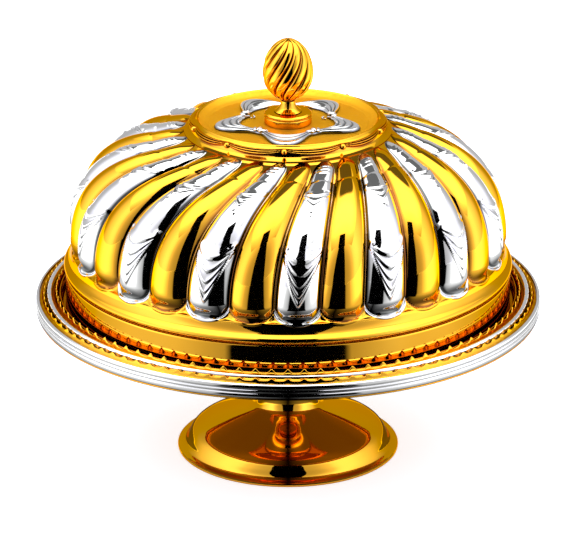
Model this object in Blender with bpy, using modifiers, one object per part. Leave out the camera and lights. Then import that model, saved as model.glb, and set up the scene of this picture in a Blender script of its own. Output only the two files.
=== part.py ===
"""Domed footed serving dish with a lift-off lid, in metres, +Z up.

The origin is the centre of the foot's underside, and the dish's axis is Z. The stand is a spun foot, a
turned stem and a dish whose rim carries decorative rings, held together by one centre bolt. The lid
is a swirl-gadrooned dome with a crown, a garland and an egg-shaped finial, and it lifts straight up.
"""
import math

import bmesh
import bpy
from mathutils import Vector

COLLECTION = "domed_footed_dish"
GAP = 0.0003                 # left between pieces that touch
SHEET = 0.0012               # thickness of the spun and pressed metal

# Heights of the main levels
NECK_TOP = 0.0420
CUP_TOP = 0.0925
DISH_FLOOR = 0.0955
SEAT = 0.1060                # ledge in the dish that the lid stands on
FLANGE_TOP = 0.1107          # rim flange that the decorative rings stand on
BAND_BOTTOM = 0.1033
BAND_TOP = 0.1124
WALL_TOP = 0.1310            # top of the lid's plain vertical wall
GADROON_BOTTOM = 0.1405
DOME_TOP = 0.2250            # flat top of the dome, under the crown
CROWN_FLOOR = 0.2315
KNOB_TOP = 0.2395
CONE_TOP = 0.2468
FINIAL_WIDEST = 0.2660
FINIAL_TOP = 0.2900

# Radii
FOOT_RADIUS = 0.0755
COLLAR_RADIUS = 0.0245        # where the neck stands on the foot
NECK_RADIUS = 0.0175
SEAT_INNER = 0.1410
WELL_RADIUS = 0.1525
RIM_RADIUS = 0.1700
LID_WALL_RADIUS = 0.1500
LOBE_RADIUS = 0.1470         # widest point of the gadroon crests
CROWN_RADIUS = 0.0665
DRUM_RADIUS = 0.01575
FINIAL_RADIUS = 0.0170
BORE_RADIUS = 0.0036
BOLT_RADIUS = 0.0029

# Ornament
GADROONS = 30
GADROON_TWIST = math.radians(18)      # how far a gadroon turns on its way up
GADROON_SWIRL = 2.4                   # power that gathers this turn towards the top
GADROON_START = math.radians(2.4)     # angle of the first silver gadroon's lower end
GADROON_DEPTH = 0.0070
LOBE_COLUMNS = 3                      # columns of faces across one gadroon
FINIAL_LOBES = 12
FINIAL_TWIST = math.radians(100)
FINIAL_DEPTH = 0.0017
GARLAND_LOBES = 5

# Facets round the axis
WIDE_STEPS = 48
FOOT_STEPS = 44
SMALL_STEPS = 20

GOLD = ((0.83, 0.50, 0.13), 0.10)
MATTE_GOLD = ((0.80, 0.52, 0.09), 0.45)
SILVER = ((0.90, 0.91, 0.90), 0.08)
STEEL = ((0.60, 0.60, 0.60), 0.30)


# ---------------------------------------------------------------- helpers

def clear_scene():
    for old in list(bpy.data.objects):
        bpy.data.objects.remove(old, do_unlink=True)


def new_collection(name):
    collection = bpy.data.collections.new(name)
    bpy.context.scene.collection.children.link(collection)
    return collection


def metal(name, look):
    """A polished or satin metal: its colour and its roughness."""
    colour, roughness = look
    material = bpy.data.materials.new(name)
    material.use_nodes = True
    shader = material.node_tree.nodes["Principled BSDF"]
    shader.inputs["Base Color"].default_value = (*colour, 1.0)
    shader.inputs["Roughness"].default_value = roughness
    shader.inputs["Metallic"].default_value = 1.0
    return material


def add_object(name, mesh, parent, look):
    piece = bpy.data.objects.new(name, mesh)
    bpy.data.collections[COLLECTION].objects.link(piece)
    piece.parent = parent
    mesh.materials.append(metal(name, look))
    return piece


def arc(centre, radius, start, end, steps):
    """Points of a circular arc in the (radius, height) plane, with angles in degrees."""
    points = []
    for step in range(steps + 1):
        angle = math.radians(start + (end - start) * step / steps)
        points.append((centre[0] + radius * math.cos(angle), centre[1] + radius * math.sin(angle)))
    return points


def turned(name, profile, parent, look, steps=SMALL_STEPS, closed=True):
    """A turned piece. Its profile runs down the outer side; a closed one comes back up the bore."""
    mesh = bpy.data.meshes.new(name)
    corners = [(radius, 0.0, height) for radius, height in profile]
    edges = [(i, i + 1) for i in range(len(corners) - 1)]
    if closed:
        edges.append((len(corners) - 1, 0))
    mesh.from_pydata(corners, edges, [])
    piece = add_object(name, mesh, parent, look)
    screw = piece.modifiers.new("turn", "SCREW")
    screw.axis = "Z"
    screw.angle = math.tau
    screw.steps = steps
    screw.render_steps = steps
    screw.use_merge_vertices = True
    screw.merge_threshold = 0.00001
    screw.use_smooth_shade = True
    return piece


def grid_mesh(name, rings, close_ends=False):
    """A mesh through rings of points, from the lowest ring up; each ring runs round the axis."""
    shape = bmesh.new()
    rows = [[shape.verts.new(point) for point in ring] for ring in rings]
    for low, high in zip(rows, rows[1:]):
        for i in range(len(low)):
            j = (i + 1) % len(low)
            shape.faces.new((low[i], low[j], high[j], high[i]))
    if close_ends:
        shape.faces.new(list(reversed(rows[0])))
        shape.faces.new(rows[-1])
    mesh = bpy.data.meshes.new(name)
    shape.to_mesh(mesh)
    shape.free()
    mesh.shade_smooth()
    return mesh


def polar(radius, angle, height):
    """A point at an angle counted from -Y towards +X."""
    return Vector((radius * math.sin(angle), -radius * math.cos(angle), height))


def bulge(across, half_width, depth):
    """Height of a circular arch: across runs from -1 to 1 over its width."""
    curve = (half_width ** 2 + depth ** 2) / (2 * depth)
    return math.sqrt(curve ** 2 - (min(abs(across), 1.0) * half_width) ** 2) - (curve - depth)


def bezier(points, t):
    a, b, c, d = points
    s = 1 - t
    return tuple(s ** 3 * a[i] + 3 * s * s * t * b[i] + 3 * s * t * t * c[i] + t ** 3 * d[i] for i in (0, 1))


def half_round(inner, outer, bottom, top, steps=3):
    """Profile of a ring with a half-round upper side."""
    middle = (inner + outer) / 2
    width = (outer - inner) / 2
    height = min(width, top - bottom)
    crown = arc((0.0, 0.0), 1.0, 180, 0, steps)
    upper = [(middle + x * width, top - height + y * height) for x, y in crown]
    return upper + [(outer, bottom), (inner, bottom)]


# ---------------------------------------------------------------- stand

def add_foot(stand):
    """Spun foot, hollow below: rolled bottom ring, steep wall and a gently sloping top."""
    top_side = [(COLLAR_RADIUS, slope_height(COLLAR_RADIUS)), (0.0560, slope_height(0.0560))]
    shoulder = [(0.0609, 0.0155), (0.0642, 0.0130), (0.0668, 0.0098)]
    wall = [(0.0703, 0.0032), (FOOT_RADIUS - 0.0003, 0.0023), (FOOT_RADIUS, 0.0)]
    inside = [
        (0.0690, 0.0),
        (0.0655, 0.0090),
        (0.0600, 0.0145),
        (0.0550, slope_height(0.0550) - SHEET),
        (COLLAR_RADIUS, slope_height(COLLAR_RADIUS) - SHEET),
    ]
    turned("foot", top_side + shoulder + wall + inside, stand, GOLD, FOOT_STEPS)


def slope_height(radius):
    """Height of the foot's sloping top."""
    return 0.0159 + (0.0600 - radius) * 0.306


def add_neck(stand):
    """Trumpet neck that stands on the foot and carries the stem; closed on top but for its bore."""
    bottom = slope_height(COLLAR_RADIUS) + GAP
    profile = [
        (NECK_RADIUS, NECK_TOP),
        (0.0183, 0.0338),
        (0.0205, 0.0296),
        (COLLAR_RADIUS, bottom),
        (COLLAR_RADIUS - 0.0012, bottom),
        (0.0190, 0.0292),
        (0.0165, NECK_TOP - SHEET),
        (BORE_RADIUS, NECK_TOP - SHEET),
        (BORE_RADIUS, NECK_TOP),
    ]
    turned("foot_neck", profile, stand, GOLD, FOOT_STEPS)


def add_stem(stand):
    """Ring, bulb, ring and flared cup, stacked on the neck with one bore."""
    bottom = NECK_TOP + GAP
    top = bottom + 0.0050
    add_stem_piece("stem_lower_ring", stand, bottom, top, arc((0.0130, (bottom + top) / 2), 0.0025, 90, -90, 4))
    bottom = top + GAP
    top = bottom + 0.0185
    bulb = [(0.0085, top), (0.0085, top - 0.002)] + arc((0.0045, top - 0.0095), 0.0080, 60, -60, 4)
    add_stem_piece("stem_knop", stand, bottom, top, bulb + [(0.0085, bottom + 0.002), (0.0085, bottom)])
    bottom = top + GAP
    top = bottom + 0.0040
    add_stem_piece("stem_upper_ring", stand, bottom, top, arc((0.0120, (bottom + top) / 2), 0.0020, 90, -90, 4))
    bottom = top + GAP
    flare = [(0.0260, CUP_TOP), (0.0260, CUP_TOP - 0.0015)] + arc((0.0260, bottom + 0.001), 0.0160, 95, 175, 4)
    add_stem_piece("stem_cup", stand, bottom, CUP_TOP, flare + [(0.0090, bottom)])


def add_stem_piece(name, stand, bottom, top, outer_side):
    bore = [(BORE_RADIUS, bottom), (BORE_RADIUS, top)]
    turned(name, outer_side + bore, stand, GOLD)


def add_dish(stand):
    """Spun dish: sunken floor, ledge for the lid, short well wall and the rim flange."""
    flange_edge = RIM_RADIUS - 0.0024
    upper_side = [
        (BORE_RADIUS, DISH_FLOOR),
        (0.1290, DISH_FLOOR),
        (0.1350, DISH_FLOOR + 0.0030),
        (SEAT_INNER, SEAT),
        (WELL_RADIUS, SEAT),
        (WELL_RADIUS + 0.0004, FLANGE_TOP),
        (flange_edge, FLANGE_TOP),
    ]
    lower_side = [
        (flange_edge, FLANGE_TOP - SHEET),
        (WELL_RADIUS + SHEET + 0.0004, FLANGE_TOP - SHEET),
        (WELL_RADIUS + SHEET, SEAT - SHEET),
        (SEAT_INNER + 0.0015, SEAT - SHEET),
        (0.1358, CUP_TOP + GAP + 0.0030),
        (0.1300, CUP_TOP + GAP),
        (BORE_RADIUS, CUP_TOP + GAP),
    ]
    turned("dish", upper_side + lower_side, stand, GOLD, WIDE_STEPS)


def add_rim(stand):
    """Rings that dress the flange, from the outer band to the fine wire at the well."""
    outer = RIM_RADIUS
    inner = RIM_RADIUS - 0.0021
    band = [(inner, BAND_TOP), (outer - 0.0006, BAND_TOP), (outer, BAND_TOP - 0.0008)]
    band += [(outer, BAND_BOTTOM), (inner, BAND_BOTTOM)]
    turned("rim_band", band, stand, SILVER, WIDE_STEPS)

    wire = arc((outer - 0.0012, BAND_BOTTOM - GAP - 0.0007), 0.0007, 90, -180, 3)
    turned("rim_edge_wire", wire, stand, GOLD, WIDE_STEPS)

    bottom = FLANGE_TOP + GAP
    turned("outer_notched_ring", notched_profile(0.1627, 0.1675, bottom, 0.1147), stand, GOLD, WIDE_STEPS)
    turned("silver_rib_ring", half_round(0.1593, 0.1624, bottom, 0.1158), stand, SILVER, WIDE_STEPS)
    turned("inner_notched_ring", notched_profile(0.1543, 0.1590, bottom, 0.1179), stand, GOLD, WIDE_STEPS)
    turned("well_wire", half_round(0.1532, 0.1540, bottom, 0.1146, 2), stand, GOLD, WIDE_STEPS)


def notched_profile(inner, outer, bottom, crest):
    """A ring whose crest stands over the middle: smooth slope outside, scooped face inside."""
    width = outer - inner
    rise = crest - bottom
    return [
        (inner, bottom),
        (inner + 0.12 * width, bottom + 0.45 * rise),
        (inner + 0.5 * width, crest),
        (outer, bottom + 0.25 * rise),
        (outer, bottom),
    ]


def add_stand_fixings(stand):
    """Bolt down through the stem, with a washer and nut under the neck."""
    head = DISH_FLOOR + GAP
    bolt = [(0.0, head + 0.0030), (0.0045, head + 0.0025), (0.0080, head + 0.0010), (0.0080, head)]
    bolt += [(BOLT_RADIUS, head), (BOLT_RADIUS, 0.0300), (0.0, 0.0300)]
    turned("centre_bolt", bolt, stand, STEEL, 16, closed=False)
    under_neck = NECK_TOP - SHEET - GAP
    add_washer("foot_washer", stand, under_neck, 0.0100)
    add_nut("foot_nut", stand, under_neck - 0.0012 - GAP, 0.0050)


def add_washer(name, parent, top, radius):
    bottom = top - 0.0012
    profile = [(radius, top), (radius, bottom), (BORE_RADIUS, bottom), (BORE_RADIUS, top)]
    turned(name, profile, parent, STEEL, 16)


def add_nut(name, parent, top, thickness):
    """Hexagon nut with its hole cut by a cylinder."""
    across_corners = 0.0115
    centre = (0.0, 0.0, top - thickness / 2)
    mesh = cylinder_mesh(name, across_corners / 2, thickness, 6)
    nut = add_object(name, mesh, parent, STEEL)
    nut.location = centre
    cutter = bpy.data.objects.new(name + "_cutter", cylinder_mesh(name + "_cutter", 0.0033, 2 * thickness, 16))
    bpy.data.collections["cutters"].objects.link(cutter)
    cutter.location = centre
    cutter.hide_render = True
    cutter.display_type = "WIRE"
    cut = nut.modifiers.new("bore", "BOOLEAN")
    cut.operation = "DIFFERENCE"
    cut.solver = "EXACT"
    cut.object = cutter


def cylinder_mesh(name, radius, depth, sides):
    shape = bmesh.new()
    bmesh.ops.create_cone(
        shape, cap_ends=True, segments=sides, radius1=radius, radius2=radius, depth=depth)
    mesh = bpy.data.meshes.new(name)
    shape.to_mesh(mesh)
    shape.free()
    return mesh


# ---------------------------------------------------------------- lid

def add_lid_wall(lid):
    """Plain vertical wall that stands in the dish."""
    outer = LID_WALL_RADIUS
    bottom = SEAT + GAP
    profile = [
        (outer, WALL_TOP),
        (outer, bottom),
        (outer - 0.0015, bottom),
        (outer - 0.0015, WALL_TOP),
    ]
    turned("lid_foot_ring", profile, lid, GOLD, WIDE_STEPS)


def dome_crest(share):
    """Radius and height of the gadroon crests; share runs from 0 at the widest point to 1 at the top."""
    top = (0.0716, 0.2260)
    return bezier(((LOBE_RADIUS, 0.1540), (LOBE_RADIUS, 0.1995), (0.1178, 0.2190), top), share)


def dome_rows():
    """Rows from the bottom up, as (radius, height, normal, arch depth, share of the twist)."""
    outward = (1.0, 0.0)
    upward = (0.0, 1.0)
    rows = [
        (0.1497, WALL_TOP + GAP, outward, 0.0, 0.0),
        (0.1508, 0.1350, outward, 0.0, 0.0),
        (0.1495, 0.1372, outward, 0.0, 0.0),
        (0.1420, GADROON_BOTTOM, outward, 0.0, 0.0),
        (0.1455, 0.1450, outward, 0.5 * GADROON_DEPTH, 0.05),
    ]
    steps = 6
    for step in range(steps + 1):
        share = step / steps
        radius, height = dome_crest(share)
        before = dome_crest(share - 0.01)
        after = dome_crest(share + 0.01)
        slope = math.atan2(after[1] - before[1], after[0] - before[0])
        normal = (math.sin(slope), -math.cos(slope))
        depth = GADROON_DEPTH * radius / LOBE_RADIUS if step < steps else 0.0
        rows.append((radius, height, normal, depth, 0.12 + 0.88 * share))
    rows.append((0.0640, DOME_TOP, upward, 0.0, 1.0))
    rows.append((BORE_RADIUS, DOME_TOP, upward, 0.0, 1.0))
    return rows


def add_dome(lid):
    """One pressing: bead, hollow skirt and thirty swirled gadroons, every other one silvered."""
    columns = LOBE_COLUMNS * GADROONS
    lobe = math.tau / GADROONS
    rings = []
    for radius, height, normal, depth, turn in dome_rows():
        ring = []
        for column in range(columns):
            sunk = 0.0
            if depth > 0:
                across = 2 * (column % LOBE_COLUMNS) / LOBE_COLUMNS - 1
                sunk = depth - bulge(across, radius * lobe / 2, depth)
            start = GADROON_START + (column / LOBE_COLUMNS - 0.5) * lobe
            angle = start + GADROON_TWIST * turn ** GADROON_SWIRL
            ring.append(polar(radius - sunk * normal[0], angle, height - sunk * normal[1]))
        rings.append(ring)
    mesh = grid_mesh("dome_shell", rings)
    dome = add_object("dome_shell", mesh, lid, GOLD)
    mesh.materials.append(metal("dome_silver", SILVER))
    paint_silver_gadroons(mesh, columns)
    shell = dome.modifiers.new("sheet", "SOLIDIFY")
    shell.thickness = SHEET
    shell.offset = -1.0


def paint_silver_gadroons(mesh, columns):
    """Gives every other gadroon the silver material."""
    first_row = 3
    last_row = len(mesh.polygons) // columns - 3
    for face in mesh.polygons:
        row, column = divmod(face.index, columns)
        if first_row <= row <= last_row and (column // LOBE_COLUMNS) % 2 == 0:
            face.material_index = 1


def add_crown(lid):
    """Plate on the dome's flat top: sunken floor, raised border and a sloping swagged edge."""
    profile = [
        (BORE_RADIUS, CROWN_FLOOR),
        (0.0550, CROWN_FLOOR + 0.0003),
        (0.0610, CROWN_FLOOR + 0.0045),
        (CROWN_RADIUS, DOME_TOP + 0.0015),
        (0.0650, DOME_TOP + 0.0015),
        (0.0600, CROWN_FLOOR + 0.0030),
        (0.0545, CROWN_FLOOR - SHEET),
        (0.0190, CROWN_FLOOR - SHEET),
        (0.0180, DOME_TOP + GAP),
        (BORE_RADIUS, DOME_TOP + GAP),
    ]
    turned("crown_plate", profile, lid, MATTE_GOLD, FOOT_STEPS)


def add_garland(lid):
    """Five-lobed garland: a flattened tube that swells in each lobe and narrows at the ties."""
    curve = bpy.data.curves.new("star_garland", "CURVE")
    curve.dimensions = "3D"
    curve.bevel_depth = 1.0
    curve.bevel_resolution = 1
    curve.resolution_u = 1
    spline = curve.splines.new("POLY")
    points = 8 * GARLAND_LOBES
    spline.points.add(points - 1)
    spline.use_cyclic_u = True
    for index, point in enumerate(spline.points):
        angle = math.tau * index / points
        swell = abs(math.cos(GARLAND_LOBES * angle / 2)) ** 0.6
        place = polar(0.0320 + 0.0085 * swell, angle, 0.0)
        point.co = (*place, 1.0)
        point.radius = 0.0032 + 0.0060 * swell
    guide = bpy.data.objects.new("garland_guide", curve)
    bpy.data.collections["cutters"].objects.link(guide)
    bpy.context.view_layer.update()
    mesh = bpy.data.meshes.new_from_object(guide.evaluated_get(bpy.context.evaluated_depsgraph_get()))
    bpy.data.objects.remove(guide)
    mesh.materials.clear()
    flatten = 0.17
    lowest = min(corner.co.z for corner in mesh.vertices) * flatten
    for corner in mesh.vertices:
        corner.co.z = corner.co.z * flatten - lowest
    garland = add_object("star_garland", mesh, lid, SILVER)
    garland.location = (0.0, 0.0, CROWN_FLOOR + 0.0006)


def add_knob(lid):
    """Grooved drum, small cone and the egg-shaped finial with its swirled flutes."""
    bottom = CROWN_FLOOR + GAP
    drum = [(0.0093, KNOB_TOP), (DRUM_RADIUS - 0.0008, KNOB_TOP), (DRUM_RADIUS, KNOB_TOP - 0.0008)]
    drum += [(DRUM_RADIUS, bottom), (BORE_RADIUS, bottom), (BORE_RADIUS, KNOB_TOP)]
    turned("knob_base", drum, lid, GOLD, 24)
    bottom = KNOB_TOP + GAP
    cone = [(0.0044, CONE_TOP), (0.0050, CONE_TOP - 0.0020), (0.0068, CONE_TOP - 0.0050), (0.0092, bottom)]
    cone += [(BORE_RADIUS, bottom), (BORE_RADIUS, CONE_TOP)]
    turned("knob_cone", cone, lid, GOLD, 24)
    add_finial(lid)


def add_finial(lid):
    columns = 4 * FINIAL_LOBES
    rows = 8
    bottom = CONE_TOP + GAP
    socket_top = bottom + 0.0100
    rings = [circle(BORE_RADIUS, socket_top, columns), circle(BORE_RADIUS, bottom, columns)]
    for row in range(rows + 1):
        share = 0.03 + 0.965 * row / rows
        height = bottom + share * (FINIAL_TOP - bottom)
        half = FINIAL_WIDEST - bottom if height < FINIAL_WIDEST else FINIAL_TOP - FINIAL_WIDEST
        radius = FINIAL_RADIUS * (1 - (abs(height - FINIAL_WIDEST) / half) ** 2.1) ** 0.55
        ring = []
        for column in range(columns):
            across = ((column % 4) - 2) / 2
            sunk = FINIAL_DEPTH * (radius / FINIAL_RADIUS) * across ** 2
            angle = math.tau * column / columns + FINIAL_TWIST * share
            ring.append(polar(radius - sunk, angle, height))
        rings.append(ring)
    mesh = grid_mesh("finial", rings, close_ends=True)
    add_object("finial", mesh, lid, GOLD)


def circle(radius, height, count):
    return [polar(radius, math.tau * i / count, height) for i in range(count)]


def add_lid_fixings(lid):
    """Stud from the finial down through the dome, with a washer and nut inside."""
    stud_bottom = DOME_TOP - 0.0090
    stud_top = CONE_TOP + 0.0090
    length = stud_top - stud_bottom
    stud = add_object("lid_stud", cylinder_mesh("lid_stud", BOLT_RADIUS, length, 16), lid, STEEL)
    stud.location = (0.0, 0.0, (stud_bottom + stud_top) / 2)
    under_dome = DOME_TOP - SHEET - GAP
    add_washer("lid_washer", lid, under_dome, 0.0090)
    add_nut("lid_nut", lid, under_dome - 0.0012 - GAP, 0.0040)


def main():
    clear_scene()
    collection = new_collection(COLLECTION)
    new_collection("cutters")
    stand = bpy.data.objects.new("stand", None)
    lid = bpy.data.objects.new("lid", None)
    collection.objects.link(stand)
    collection.objects.link(lid)

    add_foot(stand)
    add_neck(stand)
    add_stem(stand)
    add_dish(stand)
    add_rim(stand)
    add_stand_fixings(stand)

    add_lid_wall(lid)
    add_dome(lid)
    add_crown(lid)
    add_garland(lid)
    add_knob(lid)
    add_lid_fixings(lid)


main()
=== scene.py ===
import math

import bmesh
import bpy
import numpy as np
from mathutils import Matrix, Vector


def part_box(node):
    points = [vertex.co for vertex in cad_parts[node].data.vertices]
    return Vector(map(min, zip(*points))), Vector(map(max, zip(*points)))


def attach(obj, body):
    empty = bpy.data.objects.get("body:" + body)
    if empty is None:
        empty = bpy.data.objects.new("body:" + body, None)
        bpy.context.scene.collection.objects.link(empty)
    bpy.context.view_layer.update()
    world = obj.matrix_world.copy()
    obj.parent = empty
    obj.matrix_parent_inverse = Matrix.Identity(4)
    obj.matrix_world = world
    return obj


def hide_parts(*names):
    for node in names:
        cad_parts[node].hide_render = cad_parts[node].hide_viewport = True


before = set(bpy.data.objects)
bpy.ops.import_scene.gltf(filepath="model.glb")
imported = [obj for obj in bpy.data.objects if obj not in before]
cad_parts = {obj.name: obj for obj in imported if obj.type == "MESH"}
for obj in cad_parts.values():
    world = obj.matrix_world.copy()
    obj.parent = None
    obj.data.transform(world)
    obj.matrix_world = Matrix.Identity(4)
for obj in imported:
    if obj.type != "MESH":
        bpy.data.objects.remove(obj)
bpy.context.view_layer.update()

# The looks of the domed footed dish. Lengths are metres; an angle round the axis is counted from -Y
# towards +X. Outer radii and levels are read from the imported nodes, and finer sizes are added to them.


def extent(node):
    """Outer radius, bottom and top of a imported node."""
    low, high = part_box(node)
    return high.x, low.z, high.z


FOOT_RADIUS, _, FOOT_TOP = extent("foot")
COLLAR_RADIUS, _, NECK_TOP = extent("foot_neck")
RIM_RADIUS, BAND_BOTTOM, BAND_TOP = extent("rim_band")
DISH_RADIUS, DISH_BOTTOM, FLANGE_TOP = extent("dish")
WALL_RADIUS, WALL_BOTTOM, WALL_TOP = extent("lid_foot_ring")
DOME_RADIUS, DOME_BOTTOM, DOME_HIGH = extent("dome_shell")
_, CROWN_BOTTOM, CROWN_LIP = extent("crown_plate")
DRUM_RADIUS, CROWN_FLOOR, DRUM_TOP = extent("knob_base")
CONE_RADIUS, CONE_BOTTOM, CONE_TOP = extent("knob_cone")
FINIAL_WIDE, FINIAL_BOTTOM, FINIAL_TOP = extent("finial")

SHEET = 0.0012                # thickness of the spun metal
BORE = 0.0036                 # radius of the hole for bolt and stud
OUTER_TEETH = 99
INNER_TEETH = 94
OUTER_RING_INSIDE = 0.1627    # inner radius of the outer notched ring
INNER_RING_INSIDE = 0.1543

# Gadroons
GADROONS = 30
LOBE = math.tau / GADROONS    # angle that one gadroon takes up
TWIST = math.radians(18)      # how far a gadroon turns round the axis from its lower to its upper end
SWIRL = 2.4                   # power that gathers the twist towards the top
FIRST_SILVER = math.radians(2.4)
LOBE_DEPTH = 0.0072
SILVER_COLUMNS = 64           # columns across a silver gadroon, which carries relief
GOLD_COLUMNS = 24
# Control points, radius and height, of the curve over a gadroon's back
CREST = ((0.1470, 0.1540), (0.1470, 0.1995), (0.1178, 0.2190), (0.0716, 0.2262))
CREST_STEPS = 160
SKIRT_TOP = np.array((0.1451, 0.1443))    # radius and height where the skirt meets the gadroons
TOP_RADIUS = 0.0690           # radius where the gadroons end below the crown
TOE = 0.0130                  # length of a gadroon's rounded lower end
TIP = 0.0100                  # length of its rounded upper end
FILLET = 0.08                 # height of the lip round a gadroon, as a share of its depth
PLATING_EDGE = 1.15           # how far silver plating runs out past a gadroon, in half widths


# ---------------------------------------------------------------- mesh helpers

def link_object(name, data):
    """Puts a mesh, light or camera into the scene."""
    made = bpy.data.objects.new(name, data)
    bpy.context.scene.collection.objects.link(made)
    return made


def new_object(name, mesh, material, body, replaced):
    """A piece of the object that rides on a body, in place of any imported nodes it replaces."""
    mesh.materials.append(material)
    piece = link_object(name, mesh)
    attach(piece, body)
    if replaced:
        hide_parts(*replaced)


def polar_grid(radius, angle, height):
    """Points from arrays of radius, angle and height, with columns running round the axis."""
    radius, angle, height = np.broadcast_arrays(radius, angle, height)
    return np.stack([radius * np.sin(angle), -radius * np.cos(angle), height], axis=-1)


def grid_mesh(name, points, loop_rows=False, cap_first=False, cap_last=False, sharp=None):
    """A mesh over rows x columns of points; each row closes on itself, and columns too on request."""
    rows, columns = points.shape[:2]
    index = np.arange(rows * columns).reshape(rows, columns)
    following = np.roll(index, -1, axis=0) if loop_rows else index[1:]
    start = index if loop_rows else index[:-1]
    faces = np.stack([start, np.roll(start, -1, 1), np.roll(following, -1, 1), following], -1)
    face_list = faces.reshape(-1, 4).tolist()
    if cap_first:
        face_list.append(index[0][::-1].tolist())
    if cap_last:
        face_list.append(index[-1].tolist())
    mesh = bpy.data.meshes.new(name)
    mesh.from_pydata(points.reshape(-1, 3).tolist(), [], face_list)
    mesh.shade_smooth()
    if sharp:
        mesh.set_sharp_from_angle(angle=math.radians(sharp))
    return mesh


def store(mesh, name, values):
    """Keeps one number a vertex in the mesh, for its material to read."""
    layer = mesh.attributes.new(name, "FLOAT", "POINT")
    layer.data.foreach_set("value", np.ascontiguousarray(values, dtype=np.float32).reshape(-1))


def arc(centre, radius, start, end, steps):
    """Points of an arc in the (radius, height) plane, with angles in degrees."""
    angles = np.radians(np.linspace(start, end, steps + 1))
    return [(centre[0] + radius * math.cos(a), centre[1] + radius * math.sin(a)) for a in angles]


def softened(profile, size=0.0003, steps=3):
    """A closed profile with its corners rounded off."""
    points = [np.array(p) for p in profile]
    made = []
    for before, corner, after in zip([points[-1], *points], points, [*points[1:], points[0]]):
        back = before - corner
        forth = after - corner
        cut = min(size, 0.4 * np.linalg.norm(back), 0.4 * np.linalg.norm(forth))
        start = corner + back / np.linalg.norm(back) * cut
        end = corner + forth / np.linalg.norm(forth) * cut
        for t in np.linspace(0, 1, steps + 1):
            made.append((1 - t) ** 2 * start + 2 * t * (1 - t) * corner + t * t * end)
    return made


def through(points, steps=6):
    """A smooth curve through points, without its last one."""
    p = [np.array(q) for q in points]
    p = [2 * p[0] - p[1], *p, 2 * p[-1] - p[-2]]
    made = []
    for a, b, c, d in zip(p, p[1:], p[2:], p[3:]):
        for t in np.arange(steps) / steps:
            made.append(0.5 * (2 * b + (c - a) * t + (2 * a - 5 * b + 4 * c - d) * t ** 2
                               + (3 * b - a - 3 * c + d) * t ** 3))
    return made


def turned(name, profile, material, body, replaced, steps=256, sharp=35):
    """A turned piece from a closed profile that runs down its outer side and back up inside."""
    loop = np.array([tuple(p) for p in profile])[::-1]
    angles = np.linspace(0, math.tau, steps, endpoint=False)
    points = polar_grid(loop[:, :1], angles[None, :], loop[:, 1:])
    mesh = grid_mesh(name, points, loop_rows=True, sharp=sharp)
    new_object(name, mesh, material, body, replaced)


# ---------------------------------------------------------------- materials

# The two crease colours below are painted shade, laid into creases and onto the dark marks stored in the
# meshes.
GOLD_COLOUR = (0.97, 0.505, 0.044)
GOLD_DEEP = (0.92, 0.45, 0.030)
GOLD_PAINTED_SHADE = (0.24, 0.070, 0.022)
GOLD_EDGE = (1.0, 0.62, 0.16)
SILVER_COLOUR = (0.96, 0.965, 0.96)
SILVER_DEEP = (0.88, 0.89, 0.89)
SILVER_PAINTED_SHADE = (0.036, 0.044, 0.046)
SILVER_EDGE = (1.0, 1.0, 1.0)
GOLD_TONES = (GOLD_COLOUR, GOLD_DEEP, GOLD_PAINTED_SHADE, GOLD_EDGE)
SILVER_TONES = (SILVER_COLOUR, SILVER_DEEP, SILVER_PAINTED_SHADE, SILVER_EDGE)
WAVE_HEIGHT = 0.00004         # waviness left in sheet metal
SCRATCH_HEIGHT = 0.000001     # finest polishing marks
CREASE_REACH = 0.010          # how near other metal must come for painted shade in a crease


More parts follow.
